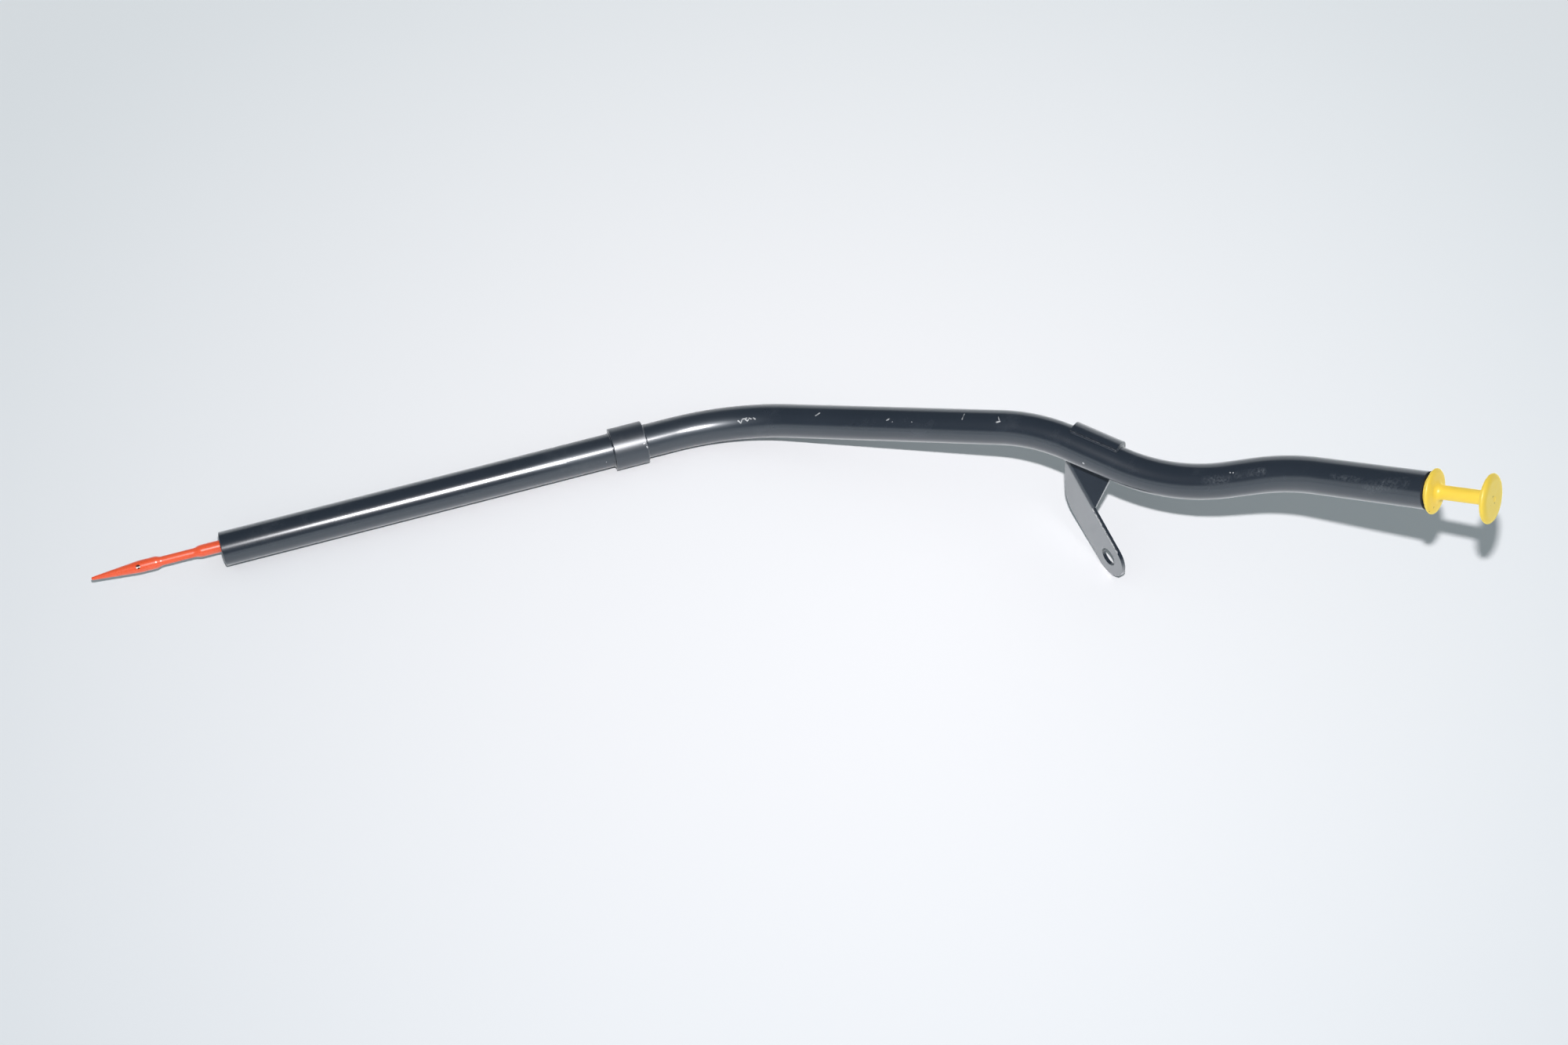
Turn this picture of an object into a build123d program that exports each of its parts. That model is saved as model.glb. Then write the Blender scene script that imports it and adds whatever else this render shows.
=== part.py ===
from build123d import *
from math import asin, atan2, cos, hypot, radians, sin, tan
import os

# Guide tube, walked run by run from its lower end (headings from +X towards +Y, climbs from level)
TUBE_OD = 16.0
TUBE_WALL = 1.2
TUBE_EDGE = 0.3
BEND_RADIUS = 90.0
LOWER_END_X = -247.53
LOWER_END_Y = -10.67
LOWER_RUN = 245.2
LOWER_HEADING_ANGLE = 17.6
RISER_RUN = 150.5
RISER_HEADING_ANGLE = -15.0
RISER_CLIMB_ANGLE = 16.8
SADDLE_RUN = 67.1
SADDLE_HEADING_ANGLE = -31.4
SADDLE_CLIMB_ANGLE = 3.1
OFFSET_RUN = 51.8
OFFSET_HEADING_ANGLE = -10.4
OFFSET_CLIMB_ANGLE = 27.7
MOUTH_RUN = 64.4
MOUTH_HEADING_ANGLE = -30.2
MOUTH_CLIMB_ANGLE = 25.8

# Stop collar, brazed on the lower run over a groove for the brazing ring
COLLAR_WALL = 1.95
COLLAR_LENGTH = 16.0
COLLAR_STATION = 185.5
COLLAR_EDGE = 0.6
BRAZE_GAP = 0.05
BRAZE_GROOVE_DEPTH = 0.3
BRAZE_GROOVE_LENGTH = 1.5

# Folded bracket: saddle on the tube, web falling to the front, upright arm
SHEET = 1.8
SADDLE_START = 17.0
SADDLE_LENGTH = 22.0
SADDLE_FRONT_ANGLE = 88.0
WEB_FALL_ANGLE = 51.0
WEB_DROP = 25.3
WEB_TAPER = 2.6
FOLD_RADIUS = 3.6
ARM_HEADING_ANGLE = -57.4
ARM_LIP = 1.0
ARM_END_RADIUS = 10.2
ARM_CORNER_SET = 14.8
ARM_CORNER_RADIUS = 16.0
BOLT_HOLE = 9.0

# Pull handle, a moulded spool with a plug stem in the mouth
SEAT_GAP = 0.05
STEM_LENGTH = 25.0
STEM_CLEARANCE = 0.35
STEM_LEAD = 1.2
INNER_FLANGE_OVERHANG = 1.65
INNER_FLANGE = 3.4
NECK_DIA = 6.1
NECK_LENGTH = 20.8
NECK_BLEND = 1.0
OUTER_FLANGE_DIA = 21.0
OUTER_FLANGE = 3.1
FLANGE_EDGE = 1.0
GATE_DIA = 3.0
GATE_DEPTH = 0.4

# Square-cut seal rings on the plug stem
SEAL_SECTION = 2.0
SEAL_FIT = 0.05
SEAL_LOWER_SET = 6.0
SEAL_PITCH = 8.0
GROOVE_PLAY = 0.4

# Stick cable and moulded tip
CABLE_DIA = 2.0
CABLE_STRANDS = 6
CABLE_FIT = 0.05
CABLE_GRIP = 18.0
STICK_OFFSET = 1.9
TIP_REACH = 59.7
TIP_DIA = 5.7
TIP_POINT_RADIUS = 0.9
TIP_CONE = 21.8
TIP_SHOULDER = 8.0
TIP_LOWER_TAPER = 2.0
TIP_WAIST_DIA = 4.2
TIP_WAIST = 15.6
TIP_UPPER_TAPER = 2.4
TIP_HIDDEN = 30.0
TIP_EDGE = 0.6
CROSS_HOLE = 2.0
CROSS_HOLE_SET = -0.3
CROSS_HOLE_TILT_ANGLE = 34.0
CABLE_PAST_HOLE = 1.6


def aim(heading, climb):
    level = cos(radians(climb))
    return Vector(level * cos(radians(heading)), level * sin(radians(heading)), sin(radians(climb)))


# Centre line of the tube, which lies on its collar
lower_dir = aim(LOWER_HEADING_ANGLE, 0)
riser_dir = aim(RISER_HEADING_ANGLE, RISER_CLIMB_ANGLE)
saddle_dir = aim(SADDLE_HEADING_ANGLE, SADDLE_CLIMB_ANGLE)
offset_dir = aim(OFFSET_HEADING_ANGLE, OFFSET_CLIMB_ANGLE)
mouth_dir = aim(MOUTH_HEADING_ANGLE, MOUTH_CLIMB_ANGLE)
tube_r = TUBE_OD / 2
bore_r = tube_r - TUBE_WALL
brazed_r = tube_r + BRAZE_GAP
collar_r = brazed_r + COLLAR_WALL
lower_end = Vector(LOWER_END_X, LOWER_END_Y, collar_r)
corner_1 = lower_end + lower_dir * LOWER_RUN
corner_2 = corner_1 + riser_dir * RISER_RUN
corner_3 = corner_2 + saddle_dir * SADDLE_RUN
corner_4 = corner_3 + offset_dir * OFFSET_RUN
mouth = corner_4 + mouth_dir * MOUTH_RUN

with BuildPart() as guide_tube:
    with BuildLine():
        FilletPolyline(lower_end, corner_1, corner_2, corner_3, corner_4, mouth, radius=BEND_RADIUS)
    with BuildSketch(Plane(lower_end, z_dir=lower_dir)):
        Circle(tube_r)
        Circle(bore_r, mode=Mode.SUBTRACT)
    sweep()
    chamfer(guide_tube.faces().filter_by(GeomType.PLANE).edges(), TUBE_EDGE)
    with BuildSketch(Plane(lower_end + lower_dir * (COLLAR_STATION - BRAZE_GAP), z_dir=lower_dir)):
        Circle(collar_r)
        Circle(tube_r - BRAZE_GROOVE_DEPTH, mode=Mode.SUBTRACT)
    extrude(amount=BRAZE_GROOVE_LENGTH, mode=Mode.SUBTRACT)

with BuildPart() as stop_collar:
    with BuildSketch(Plane(lower_end + lower_dir * COLLAR_STATION, z_dir=lower_dir)):
        Circle(collar_r)
        Circle(brazed_r, mode=Mode.SUBTRACT)
    extrude(amount=COLLAR_LENGTH)
    rims = stop_collar.edges().filter_by(GeomType.CIRCLE).group_by(SortBy.RADIUS)[-1]
    chamfer(rims, COLLAR_EDGE)

# Bracket frames: the sheet's visible side is the saddle's inside, the web's top and the arm's left face
saddle_back = aim(SADDLE_HEADING_ANGLE + 90, 0)
saddle_up = saddle_dir.cross(saddle_back)
leave_angle = WEB_FALL_ANGLE - 90
web_start = corner_2 + saddle_dir * SADDLE_START
web_out = saddle_back * cos(radians(leave_angle)) + saddle_up * sin(radians(leave_angle))
web_down = saddle_back * sin(radians(leave_angle)) - saddle_up * cos(radians(leave_angle))
tangent_start = web_start + web_out * brazed_r
arm_face = aim(ARM_HEADING_ANGLE - 90, 0)
fold_dir = web_out.cross(arm_face)
fold_dir = fold_dir.normalized() * (1 if fold_dir.Z < 0 else -1)
fold_turn = web_out.get_angle(arm_face * -1)

# Web outline in its own plane: x along the tube, y down the fall, ending where the fold starts
fold_slope = atan2(fold_dir.dot(web_down), fold_dir.dot(saddle_dir))
web_right = SADDLE_LENGTH - WEB_TAPER
web_left_drop = WEB_DROP - web_right * tan(fold_slope)
fold_length = web_right / cos(fold_slope)
fold_left = tangent_start + web_down * web_left_drop + web_out * FOLD_RADIUS
fold_right = fold_left + fold_dir * fold_length
arm_plane = Plane(fold_right + arm_face * FOLD_RADIUS, x_dir=fold_dir, z_dir=arm_face)

# The arm's round end stands on the floor
arm_drop = ARM_END_RADIUS - ARM_LIP
arm_reach = (ARM_END_RADIUS + arm_drop * arm_plane.y_dir.Z - arm_plane.origin.Z) / fold_dir.Z
arm_bottom = ARM_LIP - 2 * ARM_END_RADIUS
arm_corner = ARM_CORNER_SET - fold_length

with BuildPart() as bracket:
    with BuildSketch(Plane(web_start, x_dir=saddle_back, z_dir=saddle_dir)):
        with BuildLine():
            hug = CenterArc((0, 0), brazed_r, leave_angle, SADDLE_FRONT_ANGLE - leave_angle)
            back = CenterArc((0, 0), brazed_r + SHEET, leave_angle, SADDLE_FRONT_ANGLE - leave_angle)
            Line(hug @ 0, back @ 0)
            Line(hug @ 1, back @ 1)
        make_face()
    extrude(amount=SADDLE_LENGTH)
    with BuildSketch(Plane(tangent_start, x_dir=saddle_dir, z_dir=web_out)):
        Polygon((0, 0), (SADDLE_LENGTH, 0), (web_right, WEB_DROP), (0, web_left_drop), align=None)
    extrude(amount=SHEET)
    with BuildSketch(Plane(fold_left, x_dir=web_out * -1, z_dir=fold_dir)):
        with BuildLine():
            inside = CenterArc((0, 0), FOLD_RADIUS - SHEET, 0, fold_turn)
            outside = CenterArc((0, 0), FOLD_RADIUS, 0, fold_turn)
            Line(inside @ 0, outside @ 0)
            Line(inside @ 1, outside @ 1)
        make_face()
    extrude(amount=fold_length)
    with BuildSketch(arm_plane) as arm_outline:
        with BuildLine():
            crease = Line((-fold_length, 0), (0, 0))
            lip = Line(crease @ 1, (0, ARM_LIP))
            top = Line(lip @ 1, (arm_reach, ARM_LIP))
            nose = ThreePointArc(top @ 1, (arm_reach + ARM_END_RADIUS, -arm_drop), (arm_reach, arm_bottom))
            foot = Line(nose @ 1, (arm_corner, arm_bottom))
            Line(foot @ 1, crease @ 0)
        make_face()
        heel = arm_outline.vertices().sort_by_distance((arm_corner, arm_bottom, 0))[0]
        fillet(heel, ARM_CORNER_RADIUS)
        with Locations((arm_reach, -arm_drop)):
            Circle(BOLT_HOLE / 2, mode=Mode.SUBTRACT)
    extrude(amount=-SHEET)

# Handle profile: x out of the mouth, y the radius
stem_r = bore_r - STEM_CLEARANCE
seal_mid_r = bore_r - SEAL_FIT - SEAL_SECTION / 2
groove_r = seal_mid_r - SEAL_SECTION / 2 - SEAL_FIT
groove_half = (SEAL_SECTION + GROOVE_PLAY) / 2
seal_lower_x = SEAL_LOWER_SET - STEM_LENGTH
seal_upper_x = seal_lower_x + SEAL_PITCH
neck_x = SEAT_GAP + INNER_FLANGE
inner_r = tube_r + INNER_FLANGE_OVERHANG
outer_r = OUTER_FLANGE_DIA / 2
neck_r = NECK_DIA / 2
outer_x = neck_x + NECK_LENGTH
handle_end = outer_x + OUTER_FLANGE
mouth_plane = Plane(mouth, x_dir=mouth_dir, z_dir=aim(MOUTH_HEADING_ANGLE + 90, 0))
mouth_axis = Axis(mouth, mouth_dir)

with BuildPart() as handle:
    with BuildSketch(mouth_plane) as handle_outline:
        with Locations((-STEM_LENGTH, 0)):
            Rectangle(STEM_LENGTH + SEAT_GAP, stem_r, align=(Align.MIN, Align.MIN))
        chamfer(handle_outline.vertices().sort_by(Axis.X)[:2].sort_by(Axis.Y)[-1], STEM_LEAD)
        with Locations((seal_lower_x, groove_r), (seal_upper_x, groove_r)):
            Rectangle(2 * groove_half, stem_r, align=(Align.CENTER, Align.MIN), mode=Mode.SUBTRACT)
        with Locations((SEAT_GAP, 0)):
            Rectangle(INNER_FLANGE, inner_r, align=(Align.MIN, Align.MIN))
        with Locations((neck_x, 0)):
            Rectangle(NECK_LENGTH, neck_r, align=(Align.MIN, Align.MIN))
        with Locations((outer_x, 0)):
            Rectangle(OUTER_FLANGE, outer_r, align=(Align.MIN, Align.MIN))
    revolve(axis=mouth_axis)
    rings = handle.edges().filter_by(GeomType.CIRCLE).group_by(SortBy.RADIUS)
    chamfer(rings[-1] + rings[-2], FLANGE_EDGE)
    neck_ends = handle.edges().filter_by(GeomType.CIRCLE).group_by(SortBy.RADIUS)[0]
    chamfer(neck_ends, NECK_BLEND)
    with BuildSketch(Plane(mouth + mouth_dir * handle_end, z_dir=mouth_dir)):
        Circle(GATE_DIA / 2)
    extrude(amount=-GATE_DEPTH, mode=Mode.SUBTRACT)
    with BuildSketch(Plane(mouth - mouth_dir * STEM_LENGTH, z_dir=mouth_dir)):
        Circle(CABLE_DIA / 2 + CABLE_FIT)
    extrude(amount=CABLE_GRIP + CABLE_FIT, mode=Mode.SUBTRACT)

with BuildPart() as seal_ring_lower:
    with BuildSketch(mouth_plane):
        with Locations((seal_lower_x, seal_mid_r)):
            Rectangle(SEAL_SECTION, SEAL_SECTION)
    revolve(axis=mouth_axis)

with BuildPart() as seal_ring_upper:
    with BuildSketch(mouth_plane):
        with Locations((seal_upper_x, seal_mid_r)):
            Rectangle(SEAL_SECTION, SEAL_SECTION)
    revolve(axis=mouth_axis)

# Tip profile: x from the point back into the tube, y the radius
lean = aim(LOWER_HEADING_ANGLE + 90, 0) * STICK_OFFSET
tip_point = lower_end + lean - lower_dir * TIP_REACH
tip_plane = Plane(tip_point, x_dir=lower_dir, z_dir=Vector(0, 0, 1))
tip_axis = Axis(tip_point, lower_dir)
tip_r = TIP_DIA / 2
waist_r = TIP_WAIST_DIA / 2
cone_span = hypot(TIP_CONE - TIP_POINT_RADIUS, tip_r)
cone_angle = atan2(tip_r, TIP_CONE - TIP_POINT_RADIUS) - asin(TIP_POINT_RADIUS / cone_span)
point_x = TIP_POINT_RADIUS * (1 - sin(cone_angle))
point_r = TIP_POINT_RADIUS * cos(cone_angle)
shoulder_x = TIP_CONE + TIP_SHOULDER
waist_x = shoulder_x + TIP_LOWER_TAPER
upper_x = waist_x + TIP_WAIST + TIP_UPPER_TAPER
tip_end = TIP_REACH + TIP_HIDDEN
hole_x = TIP_CONE + CROSS_HOLE_SET
cable_end_x = hole_x - CABLE_PAST_HOLE
hole_tilt = radians(CROSS_HOLE_TILT_ANGLE)
hole_dir = Vector(0, 0, cos(hole_tilt)) - lean.normalized() * sin(hole_tilt)

with BuildPart() as tip:
    with BuildSketch(tip_plane):
        with BuildLine():
            point = TangentArc((0, 0), (point_x, point_r), tangent=(0, 1))
            Polyline(
                point @ 1,
                (TIP_CONE, tip_r),
                (shoulder_x, tip_r),
                (waist_x, waist_r),
                (waist_x + TIP_WAIST, waist_r),
                (upper_x, tip_r),
                (tip_end - TIP_EDGE, tip_r),
                (tip_end, tip_r - TIP_EDGE),
                (tip_end, 0),
                point @ 0,
            )
        make_face()
    revolve(axis=tip_axis)
    with BuildSketch(Plane(tip_point + lower_dir * tip_end, z_dir=lower_dir * -1)):
        Circle(CABLE_DIA / 2 + CABLE_FIT)
    extrude(amount=tip_end - cable_end_x + CABLE_FIT, mode=Mode.SUBTRACT)
    with BuildSketch(Plane(tip_point + lower_dir * hole_x, z_dir=hole_dir)):
        Circle(CROSS_HOLE / 2)
    extrude(amount=TIP_DIA, both=True, mode=Mode.SUBTRACT)

with BuildPart() as stick_cable:
    with BuildLine():
        FilletPolyline(
            tip_point + lower_dir * cable_end_x,
            corner_1 + lean,
            corner_2,
            corner_3,
            corner_4,
            mouth - mouth_dir * (STEM_LENGTH - CABLE_GRIP),
            radius=BEND_RADIUS,
        )
    with BuildSketch(Plane(tip_point + lower_dir * cable_end_x, z_dir=lower_dir)):
        RegularPolygon(CABLE_DIA / 2, CABLE_STRANDS)
    sweep()

os.makedirs("parts", exist_ok=True)

guide_tube.part.label = "guide_tube"
export_step(guide_tube.part, "parts/guide_tube.step")
stop_collar.part.label = "stop_collar"
export_step(stop_collar.part, "parts/stop_collar.step")
bracket.part.label = "bracket"
export_step(bracket.part, "parts/bracket.step")
handle.part.label = "handle"
export_step(handle.part, "parts/handle.step")
seal_ring_upper.part.label = "seal_ring_upper"
export_step(seal_ring_upper.part, "parts/seal_ring_upper.step")
seal_ring_lower.part.label = "seal_ring_lower"
export_step(seal_ring_lower.part, "parts/seal_ring_lower.step")
tip.part.label = "tip"
export_step(tip.part, "parts/tip.step")
stick_cable.part.label = "stick_cable"
export_step(stick_cable.part, "parts/stick_cable.step")
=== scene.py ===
import bmesh
import bpy
from math import atan2, cos, pi, radians, sin, tan
from mathutils import Matrix, Vector


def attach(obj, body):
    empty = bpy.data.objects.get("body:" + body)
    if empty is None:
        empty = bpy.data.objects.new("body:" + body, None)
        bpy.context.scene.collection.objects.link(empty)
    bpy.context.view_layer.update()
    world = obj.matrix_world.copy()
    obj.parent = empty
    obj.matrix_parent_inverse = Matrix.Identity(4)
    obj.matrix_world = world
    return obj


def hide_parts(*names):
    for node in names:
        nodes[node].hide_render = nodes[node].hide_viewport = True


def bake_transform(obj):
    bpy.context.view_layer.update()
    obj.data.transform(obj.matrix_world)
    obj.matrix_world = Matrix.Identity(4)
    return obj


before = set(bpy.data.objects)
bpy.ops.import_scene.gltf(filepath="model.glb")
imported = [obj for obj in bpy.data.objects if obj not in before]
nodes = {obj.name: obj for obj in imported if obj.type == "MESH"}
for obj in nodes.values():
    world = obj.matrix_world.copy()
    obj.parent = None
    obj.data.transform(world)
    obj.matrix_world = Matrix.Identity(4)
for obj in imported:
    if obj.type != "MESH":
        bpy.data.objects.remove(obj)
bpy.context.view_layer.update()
scene = bpy.context.scene
scene.view_settings.view_transform = "Standard"
mm = 0.001


def heading(turn, climb):  # unit vector from a turn about Z and a climb, in degrees
    level = cos(radians(climb))
    return Vector((level * cos(radians(turn)), level * sin(radians(turn)), sin(radians(climb))))


def deselect():
    if bpy.context.object and bpy.context.object.mode != "OBJECT":
        bpy.ops.object.mode_set(mode="OBJECT")
    bpy.ops.object.select_all(action="DESELECT")


# the photograph's camera, about 1 m from the part, above it and in front
view = {"place": (0.01091, -0.55528, 0.8517), "tilt": 33.6, "lens": 50.0, "sensor": 36.0, "clip": (0.05, 50)}

cameraData = bpy.data.cameras.new("photoCamera")
cameraData.lens = view["lens"]
cameraData.sensor_width = view["sensor"]
cameraData.clip_start, cameraData.clip_end = view["clip"]
camera = bpy.data.objects.new("photoCamera", cameraData)
scene.collection.objects.link(camera)
camera.location = view["place"]
camera.rotation_euler = (radians(view["tilt"]), 0, 0)
scene.camera = camera
print("camera set")


# node helpers: a value is a number, a colour or another node's socket, and the result is a socket

def feed(tree, value, socket):
    if isinstance(value, bpy.types.NodeSocket):
        tree.links.new(value, socket)
    else:
        socket.default_value = value


def rescale(tree, value, fromLow, fromHigh, toLow=0.0, toHigh=1.0, soft=False):
    span = tree.nodes.new("ShaderNodeMapRange")
    if soft:
        span.interpolation_type = "SMOOTHSTEP"
    limits = {"From Min": fromLow, "From Max": fromHigh, "To Min": toLow, "To Max": toHigh}
    for socket, limit in limits.items():
        span.inputs[socket].default_value = limit
    tree.links.new(value, span.inputs["Value"])
    return span.outputs["Result"]


def figure(tree, operation, first, second):
    node = tree.nodes.new("ShaderNodeMath")
    node.operation = operation
    feed(tree, first, node.inputs[0])
    feed(tree, second, node.inputs[1])
    return node.outputs[0]


def times(tree, first, second):
    return figure(tree, "MULTIPLY", first, second)


def plus(tree, first, second):
    return figure(tree, "ADD", first, second)


def vector(tree, operation, first, second):
    node = tree.nodes.new("ShaderNodeVectorMath")
    node.operation = operation
    feed(tree, first, node.inputs[0])
    feed(tree, second, node.inputs["Scale"] if operation == "SCALE" else node.inputs[1])
    plain = operation in ("DOT_PRODUCT", "LENGTH", "DISTANCE")  # these give one number
    return node.outputs["Value" if plain else "Vector"]


def mixed(tree, share, first, second, blend="MIX"):
    mix = tree.nodes.new("ShaderNodeMix")
    mix.data_type = "RGBA"
    mix.blend_type = blend
    feed(tree, share, mix.inputs["Factor"])
    for colour, socket in ((first, mix.inputs["A"]), (second, mix.inputs["B"])):
        feed(tree, (*colour, 1) if isinstance(colour, tuple) else colour, socket)
    return mix.outputs["Result"]


def strongest(tree, masks):
    total = masks[0]
    for mask in masks[1:]:
        total = figure(tree, "MAXIMUM", total, mask)
    return total


def paleRays(tree):  # camera, mirror and glass rays see the pale backdrop
    path = tree.nodes.new("ShaderNodeLightPath").outputs
    return strongest(tree, [path["Is Camera Ray"], path["Is Glossy Ray"], path["Is Transmission Ray"]])


def twoShaders(tree, share, first, second, outNode):  # the second one shows where the share is 1
    out = tree.nodes.new(outNode)
    mix = tree.nodes.new("ShaderNodeMixShader")
    tree.links.new(share, mix.inputs["Fac"])
    tree.links.new(first.outputs[0], mix.inputs[1])
    tree.links.new(second.outputs[0], mix.inputs[2])
    tree.links.new(mix.outputs[0], out.inputs["Surface"])


floorLook = {
    "size": 14.0, "near": (0.868, 0.892, 0.918), "far": (0.968, 0.982, 0.995), "depth": (-0.30, 0.42),
    "backdrop": (0.72, 0.75, 0.78), "fadeReach": (0.40, 0.80),
    "cool": (0.955, 0.992, 1.0), "coolReach": (0.12, 0.50),
}


def makeFloor():
    deselect()
    bpy.ops.mesh.primitive_plane_add(size=floorLook["size"], location=(0, 0, 0))
    floor = bpy.context.object
    floor.name = "floor"
    material = bpy.data.materials.new("paleFloor")
    material.use_nodes = True
    tree = material.node_tree
    tree.nodes.clear()
    place = tree.nodes.new("ShaderNodeTexCoord").outputs["Object"]
    reach = vector(tree, "LENGTH", place, (0, 0, 0))
    back = rescale(tree, vector(tree, "DOT_PRODUCT", place, (0, 1, 0)), *floorLook["depth"])
    tone = mixed(tree, back, floorLook["near"], floorLook["far"])  # painted light: a little paler towards the back, to even out the lamp's pool of light
    away = rescale(tree, reach, *floorLook["coolReach"])
    tone = mixed(tree, away, tone, floorLook["cool"], "MULTIPLY")  # and cooler away from the part
    matt = tree.nodes.new("ShaderNodeBsdfDiffuse")
    tree.links.new(tone, matt.inputs["Color"])
    glow = tree.nodes.new("ShaderNodeEmission")
    glow.inputs["Color"].default_value = (*floorLook["backdrop"], 1)
    fade = rescale(tree, reach, *floorLook["fadeReach"], soft=True)  # plain near the part, backdrop far off
    twoShaders(tree, times(tree, fade, paleRays(tree)), matt, glow, "ShaderNodeOutputMaterial")
    floor.data.materials.append(material)


lightLook = {
    "flash": {"across": 0.009, "size": (0.034, 0.022), "power": 4.6},
    "gleam": {"across": 0.084, "size": (0.090, 0.022), "power": 4.8},
    "lift": 0.112, "spread": 137, "colour": (1.0, 0.955, 0.962), "aim": (0.08, -0.03, 0.03),
    "room": (0.262, 0.291, 0.302), "horizon": (0.72, 0.75, 0.78), "ceiling": (0.06, 0.07, 0.085),
    "band": (0.20, 0.35),
}


def makeLamp(name):  # a flash head just above the lens, wider than it is high
    look = lightLook[name]
    up = camera.rotation_euler.to_matrix() @ Vector((0, 1, 0))
    side = camera.rotation_euler.to_matrix() @ Vector((1, 0, 0))
    lampData = bpy.data.lights.new(name, "AREA")
    lampData.shape = "ELLIPSE"
    lampData.size, lampData.size_y = look["size"]
    lampData.energy = look["power"]
    lampData.color = lightLook["colour"]
    lampData.spread = radians(lightLook["spread"])
    lampData.use_nodes = True
    tree = lampData.node_tree
    even = tree.nodes.new("ShaderNodeLightFalloff")  # no dimmer on the part's far side
    even.inputs["Strength"].default_value = 1.0
    tree.links.new(even.outputs["Constant"], tree.nodes["Emission"].inputs["Strength"])
    lamp = bpy.data.objects.new(name, lampData)
    scene.collection.objects.link(lamp)
    lamp.location = camera.location + up * lightLook["lift"] + side * look["across"]
    aim = Vector(lightLook["aim"]) - lamp.location
    lamp.rotation_euler = aim.to_track_quat("-Z", "Y").to_euler()
    return lamp


def makeRoom():  # even light all round, but reflections show a dark ceiling over a pale horizon
    world = bpy.data.worlds.new("room")
    scene.world = world
    world.use_nodes = True
    tree = world.node_tree
    tree.nodes.clear()
    plain = tree.nodes.new("ShaderNodeBackground")
    plain.inputs["Color"].default_value = (*lightLook["room"], 1)
    way = tree.nodes.new("ShaderNodeTexCoord").outputs["Generated"]
    lift = rescale(tree, vector(tree, "DOT_PRODUCT", way, (0, 0, 1)), *lightLook["band"], soft=True)
    seen = tree.nodes.new("ShaderNodeBackground")
    tree.links.new(mixed(tree, lift, lightLook["horizon"], lightLook["ceiling"]), seen.inputs["Color"])
    twoShaders(tree, paleRays(tree), plain, seen, "ShaderNodeOutputWorld")


makeFloor()
makeLamp("flash")
gleam = makeLamp("gleam")
gleam.visible_diffuse = False  # a longer gleam along the paint, with no second shadow
makeRoom()
print("floor and light set")


# edit-mode helpers and their settings, in mm and degrees
meshing = {
    "merge": 0.002, "near": 0.01, "smooth": 35, "roundSmooth": 60,
    "wideRounding": 0.7, "wideSteps": 6, "narrowSteps": 3,
}


def choose(piece):
    deselect()
    piece.select_set(True)
    bpy.context.view_layer.objects.active = piece


def pick(piece, test):  # select the corners whose place passes the test, and what they close
    bpy.ops.mesh.select_mode(type="VERT")
    bpy.ops.mesh.select_all(action="DESELECT")
    cage = bmesh.from_edit_mesh(piece.data)
    for corner in cage.verts:
        corner.select = test(corner.co)
    cage.select_flush(True)
    bmesh.update_edit_mesh(piece.data)


def pushRing(step):
    bpy.ops.mesh.extrude_region_move(TRANSFORM_OT_translate={"value": step})


def faceOut():
    bpy.ops.mesh.select_all(action="SELECT")
    bpy.ops.mesh.remove_doubles(threshold=meshing["merge"] * mm)
    bpy.ops.mesh.normals_make_consistent(inside=False)


def closeEnds():
    faceOut()
    bpy.ops.mesh.fill_holes(sides=0)
    faceOut()


def startRing(name, sides, radius, place=(0, 0, 0), along=Vector((0, 0, 1))):
    deselect()
    bpy.ops.mesh.primitive_circle_add(
        vertices=sides, radius=radius, location=place, rotation=along.to_track_quat("Z", "Y").to_euler())
    piece = bpy.context.object
    piece.name = name
    bpy.ops.object.transform_apply(location=True, rotation=True, scale=True)
    bpy.ops.object.mode_set(mode="EDIT")
    bpy.ops.mesh.select_all(action="SELECT")
    return piece


def turned(name, sides, rings):  # a turned shape on the Z axis from (height, radius, rounding) rings
    height, radius, _ = rings[0]
    piece = startRing(name, sides, radius * mm, (0, 0, height * mm))
    bpy.ops.mesh.edge_face_add()
    for nextHeight, nextRadius, _ in rings[1:]:
        pushRing((0, 0, (nextHeight - height) * mm))
        grow = nextRadius / radius
        bpy.ops.transform.resize(value=(grow, grow, 1), center_override=(0, 0, nextHeight * mm))
        height, radius = nextHeight, nextRadius
    faceOut()
    near = meshing["near"] * mm
    for height, radius, rounding in rings:
        if rounding:
            pick(piece, lambda co: abs(co.z - height * mm) < near and abs(co.xy.length - radius * mm) < near)
            steps = meshing["wideSteps"] if rounding > meshing["wideRounding"] else meshing["narrowSteps"]
            bpy.ops.mesh.bevel(
                offset_type="OFFSET", offset=rounding * mm, segments=steps, profile=0.5, affect="EDGES",
                clamp_overlap=False)
    faceOut()
    return piece


def stand(piece, place, along):  # put a turned shape in its place and bake it into the mesh
    bpy.ops.object.mode_set(mode="OBJECT")
    piece.matrix_world = Matrix.Translation(place) @ along.to_track_quat("Z", "Y").to_matrix().to_4x4()
    bpy.ops.object.transform_apply(location=True, rotation=True, scale=True)


def thicken(piece, wall):  # inwards, so that the outside keeps its size
    skin = piece.modifiers.new("wall", "SOLIDIFY")
    skin.thickness = wall * mm
    skin.offset = -1
    skin.use_even_offset = True


def softEdges(piece, shape):
    bevel = piece.modifiers.new("softEdges", "BEVEL")
    bevel.width = shape["edge"] * mm
    bevel.segments = shape["edgeSteps"]
    bevel.limit_method = "ANGLE"
    bevel.angle_limit = radians(shape["edgeAngle"])
    bevel.use_clamp_overlap = True


def applyAll(piece):
    choose(piece)
    for modifier in list(piece.modifiers):
        bpy.ops.object.modifier_apply(modifier=modifier.name)


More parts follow.
